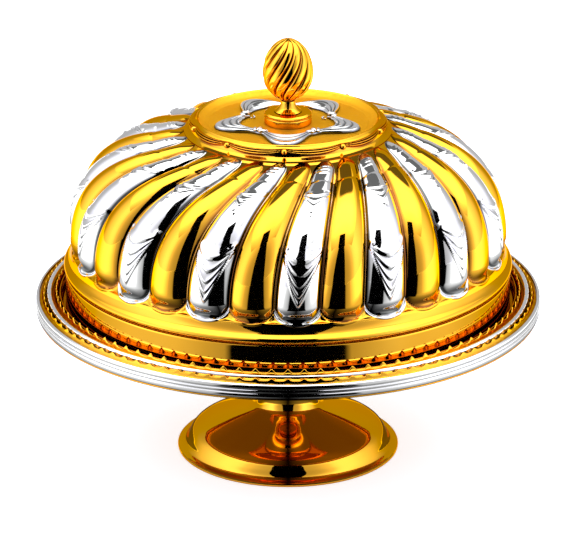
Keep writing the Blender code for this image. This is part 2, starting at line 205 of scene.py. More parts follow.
class Nodes:
    """Small helper to wire the nodes of a metal."""

    def __init__(self, name):
        self.material = bpy.data.materials.new(name)
        self.material.use_nodes = True
        self.tree = self.material.node_tree
        self.shader = self.tree.nodes["Principled BSDF"]
        self.shader.inputs["Metallic"].default_value = 1.0

    def add(self, kind, **values):
        """A new node; a value goes to the input of that name, or else to the node's own setting."""
        node = self.tree.nodes.new(kind)
        for key, value in values.items():
            if key in node.inputs:
                node.inputs[key].default_value = value
            else:
                setattr(node, key, value)
        return node

    def link(self, output, target):
        self.tree.links.new(output, target)

    def noise(self, scale, detail=3.0, squeeze=(1, 1, 1)):
        """Noise in object space, squeezed along an axis on request."""
        place = self.add("ShaderNodeTexCoord")
        mapping = self.add("ShaderNodeMapping")
        mapping.inputs["Scale"].default_value = squeeze
        noise = self.add("ShaderNodeTexNoise", Scale=scale, Detail=detail)
        self.link(place.outputs["Object"], mapping.inputs["Vector"])
        self.link(mapping.outputs["Vector"], noise.inputs["Vector"])
        return noise.outputs["Fac"]

    def ramp(self, source, low, high, start=0.3, end=0.7):
        """Maps a grey value to another range."""
        node = self.add("ShaderNodeMapRange")
        node.inputs["From Min"].default_value = start
        node.inputs["From Max"].default_value = end
        node.inputs["To Min"].default_value = low
        node.inputs["To Max"].default_value = high
        self.link(source, node.inputs["Value"])
        return node.outputs["Result"]

    def mix(self, factor, one, other):
        """Blends two colours; each is a tuple or a socket."""
        node = self.add("ShaderNodeMix", data_type="RGBA")
        self.link(factor, node.inputs["Factor"])
        for value, socket in ((one, node.inputs[6]), (other, node.inputs[7])):
            if isinstance(value, tuple):
                socket.default_value = (*value, 1.0)
            else:
                self.link(value, socket)
        return node.outputs[2]

    def open_share(self, reach):
        """1 on open metal, falling to 0 deep in creases: painted shade that grows where other metal is
        near.
        """
        shelter = self.add("ShaderNodeAmbientOcclusion", samples=6)
        shelter.inputs["Distance"].default_value = reach
        return self.ramp(shelter.outputs["AO"], 0.0, 1.0, 0.28, 0.82)

    def unshaded_share(self, reach=CREASE_REACH):
        """Open metal that is also free of the painted shade stored in the mesh."""
        painted_shade = self.add("ShaderNodeAttribute", attribute_name="painted_shade")
        unmarked = self.ramp(painted_shade.outputs["Fac"], 1.0, 0.0, 0.0, 1.0)
        both = self.add("ShaderNodeMath", operation="MULTIPLY")
        self.link(unmarked, both.inputs[0])
        self.link(self.open_share(reach), both.inputs[1])
        return both.outputs["Value"]

    def bump(self, source, height, before=None):
        """A normal bumped by a grey value, on top of another bump on request."""
        node = self.add("ShaderNodeBump", Strength=1.0, Distance=height)
        self.link(source, node.inputs["Height"])
        if before:
            self.link(before, node.inputs["Normal"])
        return node.outputs["Normal"]

    def polish(self, smooth, worn, squeeze):
        """Faint wipe marks that run round the object, and the soft waviness of sheet metal."""
        wipes = self.noise(160.0, 4.0, (1.0, 1.0, squeeze))
        self.link(self.ramp(wipes, smooth, worn, 0.45, 0.8), self.shader.inputs["Roughness"])
        waves = self.bump(self.noise(60.0, 1.0), WAVE_HEIGHT)
        scratches = self.bump(self.noise(1500.0, 2.0), SCRATCH_HEIGHT, waves)
        self.link(scratches, self.shader.inputs["Normal"])


def polished(name, tones, roughness, reach=CREASE_REACH):
    """Polished plate: uneven colour, painted shade in creases, faint wipe marks and soft waves."""
    colour, deep, shade_colour, edge = tones
    n = Nodes(name)
    cloud = n.ramp(n.noise(22.0), 0.0, 1.0)
    metal = n.mix(cloud, colour, deep)
    # Painted shade: creases and the stored dark marks take the crease colour.
    n.link(n.mix(n.unshaded_share(reach), shade_colour, metal), n.shader.inputs["Base Color"])
    n.shader.inputs["Specular Tint"].default_value = (*edge, 1.0)
    n.polish(roughness, roughness * 2.2, 6.0)
    return n.material


def matte_gold(name):
    """Satin gold: a fine blasted grain over a warm, even colour."""
    n = Nodes(name)
    cloud = n.ramp(n.noise(30.0), 0.0, 1.0)
    n.link(n.mix(cloud, (0.92, 0.50, 0.030), (0.84, 0.43, 0.022)), n.shader.inputs["Base Color"])
    n.shader.inputs["Specular Tint"].default_value = (*GOLD_EDGE, 1.0)
    n.link(n.ramp(n.noise(400.0), 0.46, 0.58), n.shader.inputs["Roughness"])
    n.link(n.bump(n.noise(2600.0, 4.0), 0.00003), n.shader.inputs["Normal"])
    return n.material


def two_tone(name):
    """The dome's plate: silver where the attribute says so, gold elsewhere."""
    n = Nodes(name)
    plate = n.add("ShaderNodeAttribute", attribute_name="silver")
    edge = n.ramp(plate.outputs["Fac"], 0.0, 1.0, 0.46, 0.54)
    cloud = n.ramp(n.noise(22.0), 0.0, 1.0)
    gold = n.mix(cloud, GOLD_COLOUR, GOLD_DEEP)
    silver = n.mix(cloud, SILVER_COLOUR, SILVER_DEEP)
    metal = n.mix(edge, gold, silver)
    # Painted shade: creases and the stored dark marks take the crease colour of each metal.
    shade_colour = n.mix(edge, GOLD_PAINTED_SHADE, SILVER_PAINTED_SHADE)
    n.link(n.mix(edge, GOLD_EDGE, SILVER_EDGE), n.shader.inputs["Specular Tint"])
    n.link(n.mix(n.unshaded_share(), shade_colour, metal), n.shader.inputs["Base Color"])
    n.polish(0.035, 0.09, 4.0)
    return n.material


def machined_steel(name):
    """Plain turned steel with fine rings and a few stains."""
    n = Nodes(name)
    stains = n.ramp(n.noise(90.0), 0.0, 1.0)
    n.link(n.mix(stains, (0.55, 0.55, 0.54), (0.38, 0.37, 0.35)), n.shader.inputs["Base Color"])
    n.link(n.ramp(n.noise(600.0), 0.25, 0.45), n.shader.inputs["Roughness"])
    n.link(n.bump(n.noise(900.0, 2.0, (1.0, 1.0, 20.0)), 0.00001), n.shader.inputs["Normal"])
    return n.material


GOLD = polished("gold_plate", GOLD_TONES, 0.035)
SILVER = polished("silver_plate", SILVER_TONES, 0.035)
RIM_GOLD = polished("rim_gold_plate", GOLD_TONES, 0.045, 0.0022)
RIM_SILVER = polished("rim_silver_plate", SILVER_TONES, 0.035, 0.0015)
DISH_GOLD = polished("dish_gold_plate", GOLD_TONES, 0.040, 0.0060)
MATTE = matte_gold("matte_gold_plate")
TWO_TONE = two_tone("two_tone_plate")
STEEL = machined_steel("machined_steel")


# ---------------------------------------------------------------- stand

RIM_STEPS = 360               # steps round the turned pieces of the rim


def make_foot():
    """Spun foot with its trumpet neck, seen as one skin."""
    slope = 0.306
    shoulder = 0.0430
    shoulder_height = FOOT_TOP - (shoulder - COLLAR_RADIUS) * slope
    edge = 0.0560
    edge_height = FOOT_TOP - (edge - COLLAR_RADIUS) * slope
    sole = (FOOT_RADIUS - 0.0001, 0.0)
    outside = [
        (COLLAR_RADIUS - 0.0070, NECK_TOP),
        (0.01765, NECK_TOP - 0.0035),
        (0.0183, NECK_TOP - 0.0080),
        (0.0202, NECK_TOP - 0.0124),
        (0.0237, FOOT_TOP + 0.0006),
        (0.0300, FOOT_TOP - 0.0019),
        (shoulder, shoulder_height),
        (edge, edge_height),
        (0.0612, edge_height - 0.0021),
        (0.0648, edge_height - 0.0047),
        (0.0672, edge_height - 0.0086),
        (0.0688, edge_height - 0.0121),
        (0.0703, 0.0031),
        (0.0718, 0.0025),
        (FOOT_RADIUS - 0.0009, 0.0022),
        (FOOT_RADIUS - 0.0002, 0.0016),
        (FOOT_RADIUS, 0.0009),
        sole,
    ]
    inside = [
        (0.0691, 0.0),
        (0.0655, edge_height - 0.0080),
        (0.0600, edge_height - 0.0030),
        (shoulder, shoulder_height - SHEET),
        (0.0250, FOOT_TOP - 0.0014),
        (0.0188, NECK_TOP - 0.0128),
        (0.0165, NECK_TOP - SHEET),
        (BORE, NECK_TOP - SHEET),
        (BORE, NECK_TOP),
    ]
    profile = through(outside) + [sole] + inside
    turned("foot_skin", profile, GOLD, "stand", ["foot", "foot_neck"], sharp=32)


def make_stem():
    """Turned ring, bulb, ring and flared cup."""
    _, low, high = extent("stem_lower_ring")
    middle = (low + high) / 2
    ring = arc((0.0130, middle), 0.0025, 90, -90, 14)
    turned_stem("lower_ring", "stem_lower_ring", [(0.0100, high - 0.0002)] + ring, low, high)

    _, low, high = extent("stem_knop")
    middle = (low + high) / 2
    bulb = [(0.0085, high), (0.0088, high - 0.0012)] + arc((0.0045, middle), 0.0080, 58, -58, 20)
    turned_stem("knop", "stem_knop", bulb + [(0.0088, low + 0.0012), (0.0085, low)], low, high)

    _, low, high = extent("stem_upper_ring")
    ring = arc((0.0120, (low + high) / 2), 0.0020, 90, -90, 12)
    turned_stem("upper_ring", "stem_upper_ring", [(0.0095, high - 0.0001)] + ring, low, high)

    radius, low, high = extent("stem_cup")
    flare = [(radius, high), (radius, high - 0.0015)] + arc((radius, low + 0.001), 0.0160, 95, 175, 20)
    turned_stem("cup", "stem_cup", flare + [(0.0092, low)], low, high)


def turned_stem(name, node, outer_side, low, high):
    """A turned piece of the stem with its bore."""
    profile = outer_side + [(BORE, low), (BORE, high)]
    turned(name, profile, GOLD, "stand", [node], 128)


def make_dish():
    """Spun dish with a rolled transition from floor to seat and a bright well wall."""
    seat = WALL_BOTTOM - 0.0003
    floor = DISH_BOTTOM + 0.0027
    well = 0.1525
    ledge = 0.1410
    upper = [
        (BORE, floor),
        (0.1275, floor),
        (0.1335, floor + 0.0016),
        (0.1375, floor + 0.0052),
        (ledge, seat),
        (well - 0.0002, seat),
        (well + 0.0004, FLANGE_TOP),
        (DISH_RADIUS, FLANGE_TOP),
    ]
    lower = [
        (DISH_RADIUS, FLANGE_TOP - SHEET),
        (well + SHEET + 0.0004, FLANGE_TOP - SHEET),
        (well + SHEET, seat - SHEET),
        (ledge + 0.0015, seat - SHEET),
        (0.1390, DISH_BOTTOM + 0.0073),
        (0.1355, DISH_BOTTOM + 0.0028),
        (0.1290, DISH_BOTTOM),
        (BORE, DISH_BOTTOM),
    ]
    profile = softened(upper + lower, 0.0012, 4)
    turned("dish_skin", profile, DISH_GOLD, "stand", ["dish"], steps=288)


def make_band():
    """Silver band with a rolled upper edge and two fine grooves."""
    inner = RIM_RADIUS - 0.0021
    tall = BAND_TOP - BAND_BOTTOM
    side = [
        (inner, BAND_TOP),
        (RIM_RADIUS - 0.0010, BAND_TOP - 0.0001),
        (RIM_RADIUS - 0.0002, BAND_TOP - 0.0007),
        (RIM_RADIUS, BAND_TOP - 0.0016),
    ]
    for share in (0.60, 0.34):
        groove = BAND_BOTTOM + share * tall
        side += [
            (RIM_RADIUS, groove + 0.0007),
            (RIM_RADIUS - 0.0006, groove),
            (RIM_RADIUS, groove - 0.0007),
        ]
    side += [(RIM_RADIUS, BAND_BOTTOM), (inner, BAND_BOTTOM)]
    turned("band_skin", softened(side), RIM_SILVER, "stand", ["rim_band"], RIM_STEPS, 60)


def make_edge_wire():
    """Gold wire under the band."""
    radius, low, high = extent("rim_edge_wire")
    half = (high - low) / 2
    wire = arc((radius - half, low + half), half, 90, -250, 16)
    turned("edge_wire", wire, GOLD, "stand", ["rim_edge_wire"], RIM_STEPS, 80)


def make_half_round(name, node, width, material, steps):
    """A ring with a half-round top, for the silver rib and for the fine wire at the well."""
    outer, low, high = extent(node)
    half = width / 2
    top = [(outer - half + x * half, high - half + y * half) for x, y in arc((0, 0), 1.0, 0, 180, steps)]
    profile = top[::-1] + [(outer, low), (outer - width, low)]
    turned(name, profile, material, "stand", [node], RIM_STEPS, 60)


def make_notched_ring(name, node, inner, teeth):
    """A ring whose sharp crest is a wave of narrow teeth, scooped inside and steep outside."""
    outer, low, high = extent(node)
    per_tooth = 16
    crest_place = 0.43
    scoop_end = 0.40
    angles = np.linspace(0, math.tau, teeth * per_tooth, endpoint=False)
    phase = np.abs((teeth * angles / math.tau + 0.5) % 1.0 - 0.5) * 2
    tooth = np.exp(-(phase / 0.34) ** 2)
    valley = 1 - tooth
    rise = high - low
    crest = 0.62 + 0.38 * tooth
    # Across the ring from its inner to its outer foot: place, and share of the crest's height
    section = [
        (0.00, 0.00),
        (0.01, 0.16),
        (0.10, 0.30),
        (0.20, 0.50),
        (0.30, 0.76),
        (0.37, 0.94),
        (0.41, 1.00),
        (0.45, 1.00),
        (0.48, 0.93),
        (0.52, 0.74),
        (0.57, 0.48),
        (0.63, 0.26),
        (0.72, 0.13),
        (0.86, 0.05),
        (1.00, 0.00),
    ]
    rows = []
    painted_shade = []
    for across, share in section:
        side = 1 - abs(across - crest_place) / (1 - crest_place)
        scoop = -0.0007 * valley * side if across < scoop_end else 0.0004 * tooth * side
        radius = inner + across * (outer - inner) - scoop
        rows.append(polar_grid(radius, angles, low + rise * share * crest))
        # Painted shade: darker low on both sides of the crest, most in the valleys between teeth.
        recess = 0.6 * (1 - share) if across < scoop_end else 0.5 * max(1 - share * 1.4, 0)
        painted_shade.append(recess * (0.5 + 0.5 * valley))
    mesh = grid_mesh(name, np.array(rows)[::-1], loop_rows=True, sharp=75)
    store(mesh, "painted_shade", painted_shade[::-1])
    fix_outward(mesh)
    new_object(name, mesh, RIM_GOLD, "stand", [node])


def fix_outward(mesh):
    """Turns all faces outward."""
    shape = bmesh.new()
    shape.from_mesh(mesh)
    bmesh.ops.recalc_face_normals(shape, faces=shape.faces)
    shape.to_mesh(mesh)
    shape.free()


# ---------------------------------------------------------------- dome

def bezier(points, t):
    """Places along a cubic curve given by its four control points."""
    a, b, c, d = [np.array(p) for p in points]
    t = np.asarray(t)[:, None]
    return (1 - t) ** 3 * a + 3 * (1 - t) ** 2 * t * b + 3 * (1 - t) * t * t * c + t ** 3 * d


def base_line():
    """The sheet between the gadroons: from the bead up the skirt and the valleys to the flat top.

    Returns points, outward normals and lengths counted from the gadroons' lower ends."""
    crest = bezier(CREST, np.linspace(0, 1, CREST_STEPS))
    fade = np.minimum(1, 0.20 + 0.80 * np.linspace(7.0, 0, CREST_STEPS))
    depth = LOBE_DEPTH * fade * (crest[:, 0] / CREST[0][0]) ** 0.85
    valley = crest - depth[:, None] * outward(crest)
    hollow = (SKIRT_TOP, SKIRT_TOP + (-0.0034, 0.0008), valley[0] - (0, 0.0050), valley[0])
    toe = bezier(hollow, np.linspace(0, 1, 30))
    skirt = np.array(through([
        (WALL_RADIUS - 0.0006, DOME_BOTTOM),
        (WALL_RADIUS - 0.0001, DOME_BOTTOM + 0.0008),
        (WALL_RADIUS + 0.0006, DOME_BOTTOM + 0.0022),
        (WALL_RADIUS + 0.0007, DOME_BOTTOM + 0.0036),
        (WALL_RADIUS - 0.0001, DOME_BOTTOM + 0.0048),
        (WALL_RADIUS - 0.0014, DOME_BOTTOM + 0.0057),
        (WALL_RADIUS - 0.0028, DOME_BOTTOM + 0.0070),
        (WALL_RADIUS - 0.0039, DOME_BOTTOM + 0.0090),
        (WALL_RADIUS - 0.0045, DOME_BOTTOM + 0.0110),
        tuple(SKIRT_TOP),
    ]))
    ledge = np.array((TOP_RADIUS - valley[-1][0], 0.0012))
    inward = [valley[-1] + share * ledge for share in np.linspace(0, 1, 8)[1:]]
    line = np.vstack([skirt, toe[:-1], valley, inward])
    length = np.concatenate([[0], np.cumsum(np.linalg.norm(np.diff(line, axis=0), axis=1))])
    length -= length[len(skirt)]
    return line, outward(line), length


def outward(line):
    """Unit normals of a line in the (radius, height) plane, on its outer side."""
    along = np.gradient(line, axis=0)
    along /= np.linalg.norm(along, axis=1)[:, None]
    return np.stack([along[:, 1], -along[:, 0]], -1)


def drape(v, across, top, drop, folds, height):
    """Nested folds that hang from a point at either side and sag towards the gadroon's lower end.

    Returns their height and the painted shade in each fold's groove."""
    knot = 0.93
    side = np.clip(np.abs(across) / knot, 0, 0.995)
    below = (v - top) / drop
    q = below / (1 - side ** 1.6)
    for _ in range(3):
        q = below / (1 - side ** (2.1 - 0.9 * np.clip(q, 0, 1)))
    inside = np.clip(q * 12, 0, 1) * np.clip((1.02 - q) * 12, 0, 1)
    fold = np.clip(q, 0, 0.999) ** 1.25 * folds % 1.0
    peak = 0.68
    fall = 0.5 + 0.5 * np.cos(math.pi * (fold - peak) / (1 - peak))
    ridge = np.where(fold < peak, (fold / peak) ** 1.6, fall)
    end = np.clip((1 - side) * 5, 0, 1) ** 0.7
    return height * inside * (0.2 + ridge) * end, inside * np.exp(-((fold - 0.97) / 0.10) ** 2) * end


def bump_at(v, across, at_v, at_across, size_v, size_across, height):
    """A round bump on a gadroon."""
    return height * np.exp(-((v - at_v) / size_v) ** 2 - ((across - at_across) / size_across) ** 2)


def silver_relief(v, across):
    """Drapery on a silver gadroon and the painted shade in its folds; v runs from its upper end to its
    lower end.
    """
    relief, dark = drape(v, across, top=0.265, drop=0.13, folds=3, height=0.0006)
    lower, lower_dark = drape(v, across, top=0.605, drop=0.29, folds=5, height=0.0009)
    relief += lower
    dark = np.maximum(dark, lower_dark)
    for k in range(3):
        relief += bump_at(v, across, 0.060 + 0.026 * k, 0.0, 0.008, 0.4, 0.0004)
    relief += bump_at(v, across, 0.43, 0.0, 0.014, 0.13, 0.0007)
    for side in (-0.82, 0.82):
        relief += bump_at(v, across, 0.600, side, 0.014, 0.12, 0.0013)
        relief += bump_at(v, across, 0.262, side, 0.011, 0.13, 0.0008)
    return relief, dark


def lobe_columns():
    """Columns round the dome: the gadroon each is on, and its place across it from -1 to 1."""
    pairs = GADROONS // 2
    silver_spread = np.arange(SILVER_COLUMNS) / SILVER_COLUMNS * 2 - 1
    gold_spread = np.arange(GOLD_COLUMNS) / GOLD_COLUMNS * 2 - 1
    spread = np.tile(np.concatenate([silver_spread, gold_spread]), pairs)[None, :]
    across = np.sign(spread) * (1 - (1 - np.abs(spread)) ** 1.2)
    within = np.repeat([0, 1], [SILVER_COLUMNS, GOLD_COLUMNS])
    number = np.tile(within, pairs) + 2 * np.repeat(np.arange(pairs), len(within))
    return number[None, :], across


def dome_painted_shade(rho, toe, is_silver, fold_shade):
    """Painted shade: dark outlines along the gadroons' edges, under their lower ends and in the grooves
    of the folds.
    """
    silver_line = np.exp(-((rho - 0.92) / 0.065) ** 2)
    gold_line = np.clip((rho - 0.80) / 0.18, 0, 1) ** 1.4
    outline = np.where(is_silver, silver_line, gold_line) * (rho < 1.04)
    # Painted shade under the lower ends, which face down.
    underside = 0.72 * np.clip((toe - 0.30) / 0.30, 0, 1) * np.clip((1.0 - rho) * 8, 0, 1)
    return np.maximum(np.maximum(0.95 * outline, underside), 0.80 * fold_shade * is_silver)


def dome_skin(lengths, inset, relief_share):
    """Points of the dome at lengths up its base line, with how silver they are and how much painted
    shade they carry.
    """
    line, normals, length = base_line()
    total = length[-1]
    radius, height = [np.interp(lengths, length, line[:, k])[:, None] for k in (0, 1)]
    normal = np.stack([np.interp(lengths, length, normals[:, k]) for k in (0, 1)], -1)
    lobe_number, across = lobe_columns()
    is_silver = lobe_number % 2 == 0

    s = lengths[:, None]
    up = np.clip(s / total, 0, 1)
    toe = np.maximum((TOE - s) / TOE, 0)
    tip = np.maximum((s - (total - TIP)) / TIP, 0)
    narrowing = 1 - 0.17 * up ** 4
    # rho is 0 on a gadroon's middle line and 1 at its outline
    rho = np.sqrt((across / narrowing) ** 2 + toe ** 2 + tip ** 2)
    near_toe = np.clip(toe * 3, 0, 1)
    lip = FILLET * near_toe * np.exp(-((rho - 1.10) / 0.06) ** 2)
    arch = np.clip(1 - rho ** 2, 0, 1) ** 0.80 + lip
    depth = LOBE_DEPTH * (radius / DOME_RADIUS) ** 0.85 * np.interp(up, [0.80, 0.97], [1.0, 0.5])
    relief, fold_shade = silver_relief(1 - s / total, across)
    relief *= np.clip(arch * 2, 0, 1) * is_silver * relief_share
    out = depth * arch + relief - inset
    angle = FIRST_SILVER + (lobe_number + across / 2) * LOBE + TWIST * up ** SWIRL
    points = polar_grid(radius + out * normal[:, :1], angle, height + out * normal[:, 1:])
    limit = 1.02 + (PLATING_EDGE - 1.02) * near_toe
    silver = np.clip(0.5 + (limit - rho) * 4, 0, 1) * is_silver
    silver = np.where(np.abs(across) > 0.999, 0.5 * (rho < limit), silver)
    return points, silver, dome_painted_shade(rho, toe, is_silver, fold_shade)


def make_dome():
    """Bead, hollow skirt, swirled gadroons in two metals and the flat top, as one pressed shell."""
    sheet = 0.0010
    top_radius = 0.0640
    toe_start = -0.002
    low, high = base_line()[2][[0, -1]]
    lengths = np.concatenate([
        np.linspace(low, toe_start, 26, endpoint=False),
        np.linspace(toe_start, TOE, 44, endpoint=False),
        np.linspace(TOE, high - TIP, 200, endpoint=False),
        np.linspace(high - TIP, high, 26)])
    outer, silver, painted_shade = dome_skin(lengths, 0.0, 1.0)
    back = np.concatenate([np.linspace(high, 0.0, 44, endpoint=False), np.linspace(0.0, low, 6)])
    inner, _, _ = dome_skin(back, sheet, 0.0)
    inner[-1, :, 2] = outer[0, :, 2]
    flat = DOME_HIGH - 0.0004
    angle = np.arctan2(outer[-1, :, 0], -outer[-1, :, 1])
    corners = ((top_radius, flat), (BORE, flat), (BORE, flat - sheet), (top_radius, flat - sheet))
    top = [polar_grid(r, angle, z) for r, z in corners]
    points = np.concatenate([outer, top, inner])
    mesh = grid_mesh("dome", points, loop_rows=True)
    # Stores the silver plating and the painted shade for the material.
    for name, outer_values in (("silver", silver), ("painted_shade", painted_shade)):
        values = np.zeros(points.shape[:2])
        values[:len(outer)] = outer_values
        store(mesh, name, values)
    new_object("dome", mesh, TWO_TONE, "lid", ["dome_shell"])


def make_lid_wall():
    """Plain vertical wall with a thin rolled foot."""
    profile = [
        (WALL_RADIUS - 0.0002, WALL_TOP),
        (WALL_RADIUS - 0.0001, WALL_TOP - 0.0010),
        (WALL_RADIUS - 0.0004, WALL_BOTTOM + 0.0020),
        (WALL_RADIUS, WALL_BOTTOM + 0.0010),
        (WALL_RADIUS - 0.0002, WALL_BOTTOM),
        (WALL_RADIUS - 0.0015, WALL_BOTTOM),
        (WALL_RADIUS - 0.0015, WALL_TOP),
    ]
    profile = softened(profile, 0.0004)
    turned("lid_wall", profile, DISH_GOLD, "lid", ["lid_foot_ring"], RIM_STEPS, 60)


# ---------------------------------------------------------------- crown and knob

SWAGS = 10
CROWN_TURN = math.radians(-2.2)      # angle of the bead at the front
LIP_RADIUS = 0.0603
EDGE_RADIUS = 0.0650                 # foot of the swags
EDGE_LEVEL = 0.2296


def swag_relief(u, phase):
    """Height and painted shade of the swags on the sloping border.

    u runs down the slope, and phase from bead to bead."""
    hang = 1 - np.abs(2 * phase - 1) ** 2.2
    top = 0.12 + 0.16 * hang
    bottom = 0.52 + 0.46 * hang
    q = (u - top) / (bottom - top)
    inside = np.clip(q * 9, 0, 1) * np.clip((1 - q) * 12, 0, 1)
    fold = np.clip(q, 0, 0.999) * 3 % 1.0
    rolls = (1 - (1 - fold) ** 2.5) * np.clip((1 - fold) * 6, 0, 1)
    height = 0.0020 * inside * (0.30 + 0.70 * rolls) * (0.45 + 0.55 * hang)
    # Painted shade in the fold grooves and in a line under the swags' lower edge.
    dark = inside * np.exp(-((fold - 0.95) / 0.19) ** 2) + np.exp(-((q - 1.02) / 0.09) ** 2)
    return height, np.clip(dark, 0, 1)


def make_crown():
    """Matte floor inside a bright lip, and a sloping border of ten swags hung from beads."""
    columns = SWAGS * 48
    angles = np.linspace(0, math.tau, columns, endpoint=False)
    phase = ((angles - CROWN_TURN) * SWAGS / math.tau) % 1.0
    floor = CROWN_FLOOR - 0.0003
    inside = [(BORE, floor)] + through([
        (0.0100, floor),
        (0.0480, floor),
        (0.0545, floor + 0.0006),
        (0.0580, floor + 0.0024),
        (LIP_RADIUS - 0.0006, CROWN_LIP - 0.0006),
        (LIP_RADIUS, CROWN_LIP - 0.0001),
        (LIP_RADIUS + 0.0007, CROWN_LIP - 0.0006),
    ], 5)
    rows = [polar_grid(r, angles, z) for r, z in inside]
    painted_shade = [np.zeros(columns) for _ in rows]
    start = np.array((LIP_RADIUS + 0.0010, CROWN_LIP - 0.0014))
    end = np.array((EDGE_RADIUS, EDGE_LEVEL))
    down = (end - start) / np.linalg.norm(end - start)
    for u in np.linspace(0, 1, 56):
        r, z = start + u * (end - start) + 0.0006 * math.sin(math.pi * u)
        relief, dark = swag_relief(u, phase)
        rows.append(polar_grid(r - down[1] * relief, angles, z + down[0] * relief))
        painted_shade.append(dark)
    flare_and_underside = [
        (EDGE_RADIUS + 0.0010, EDGE_LEVEL - 0.0009),
        (EDGE_RADIUS + 0.0024, EDGE_LEVEL - 0.0017),
        (TOP_RADIUS + 0.0002, EDGE_LEVEL - 0.0024),
        (TOP_RADIUS, EDGE_LEVEL - 0.0030),
        (EDGE_RADIUS - 0.0012, EDGE_LEVEL - 0.0014),
        (0.0590, CROWN_FLOOR + 0.0014),
        (0.0540, floor - SHEET),
        (0.0190, floor - SHEET),
        (0.0180, CROWN_BOTTOM),
        (BORE, CROWN_BOTTOM),
    ]
    rows += [polar_grid(r, angles, z) for r, z in flare_and_underside]
    painted_shade += [np.zeros(columns)] * (len(rows) - len(painted_shade))
    mesh = grid_mesh("crown", np.array(rows), loop_rows=True, sharp=60)
    # Stores the painted shade of the swags.
    store(mesh, "painted_shade", painted_shade)
    fix_outward(mesh)
    new_object("crown", mesh, GOLD, "lid", ["crown_plate"])
    mesh.materials.append(MATTE)
    for face in mesh.polygons:
        centre = face.center
        if math.hypot(centre.x, centre.y) < LIP_RADIUS - 0.0008 and centre.z > floor - 0.0004:
            face.material_index = 1


def make_crown_beads():
    """A bead at each place where two swags meet, with a flattened one behind it."""
    shape = bmesh.new()
    for k in range(SWAGS):
        angle = CROWN_TURN + math.tau * k / SWAGS
        ball(shape, place(0.0645, angle, 0.2326), 0.0020)
        ball(shape, place(0.0630, angle, 0.2328), 0.0025, (1.0, 0.9, 0.6), angle)
    new_object("crown_beads", finish_mesh(shape, "crown_beads"), GOLD, "lid", ())


def ball(shape, centre, size, stretch=(1, 1, 1), turn=0.0):
    """Adds a small ellipsoid to a mesh under construction."""
    made = bmesh.ops.create_icosphere(shape, subdivisions=3, radius=1.0)
    for corner in made["verts"]:
        x = corner.co.x * size * stretch[0]
        y = corner.co.y * size * stretch[1]
        z = corner.co.z * size * stretch[2]
        corner.co = Vector((
            centre[0] + x * math.cos(turn) - y * math.sin(turn),
            centre[1] + x * math.sin(turn) + y * math.cos(turn),
            centre[2] + z))


def place(radius, angle, height):
    """A point given by its distance and angle round the axis."""
    return (radius * math.sin(angle), -radius * math.cos(angle), height)


def finish_mesh(shape, name):
    """Turns a mesh under construction into a finished one."""
    mesh = bpy.data.meshes.new(name)
    shape.to_mesh(mesh)
    shape.free()
    mesh.shade_smooth()
    return mesh


LOBES = 5
GARLAND_BASE = CROWN_FLOOR + 0.0003


def make_garland():
    """Five-lobed garland of gathered cloth."""
    columns = 600
    rows = 66
    angles = np.linspace(0, math.tau, columns, endpoint=False)
    wave = np.abs(np.cos(LOBES * (angles - CROWN_TURN) / 2))
    inner = 0.0268 + 0.0050 * wave ** 0.8
    outer = 0.0326 + 0.0180 * wave ** 2.4
    swell = 0.0016 + 0.0016 * wave ** 0.6
    points = []
    painted_shade = []
    for u in (1 - np.cos(np.linspace(0, math.pi, rows))) / 2:
        fold = u ** 0.8 * 4 % 1.0
        roll = (1 - (1 - fold) ** 2) * min(1, (1 - fold) * 5)
        height = GARLAND_BASE + swell * (1 - (2 * u - 1) ** 2) ** 0.4 * (0.62 + 0.38 * roll)
        points.append(polar_grid(inner + u * (outer - inner), angles, height))
        # Painted shade in the grooves between the folds.
        painted_shade.append(np.full(columns, 0.9 * math.exp(-(min(fold, 1 - fold) / 0.14) ** 2)))
    points.append(polar_grid(outer - 0.0003, angles, GARLAND_BASE - 0.0005))
    points.append(polar_grid(inner + 0.0003, angles, GARLAND_BASE - 0.0005))
    # Full painted shade on the underside.
    painted_shade += [np.ones(columns)] * 2
    mesh = grid_mesh("garland", np.array(points), loop_rows=True, sharp=80)
    store(mesh, "painted_shade", painted_shade)
    fix_outward(mesh)
    new_object("garland", mesh, SILVER, "lid", ["star_garland"])


def make_garland_bows():
    """A bow at each inner corner of the garland: a knot, two loops and four small drops."""
    radius = 0.0300
    shape = bmesh.new()
    for k in range(LOBES):
        angle = CROWN_TURN + math.tau * (k + 0.5) / LOBES
        knot = place(radius, angle, GARLAND_BASE + 0.0024)
        ball(shape, knot, 0.0016, (1.0, 1.7, 1.0), angle)
        for side in (-1, 1):
            loop = place(radius + 0.0012, angle + side * 0.095, GARLAND_BASE + 0.0021)
            ball(shape, loop, 0.0019, (1.5, 0.8, 0.7), angle + side * 0.9)
            ball(shape, place(radius - 0.0048, angle + side * 0.09, GARLAND_BASE + 0.0002), 0.0006)
            ball(shape, place(radius - 0.0062, angle + side * 0.03, GARLAND_BASE + 0.0002), 0.0006)
    new_object("garland_bows", finish_mesh(shape, "garland_bows"), SILVER, "lid", ())


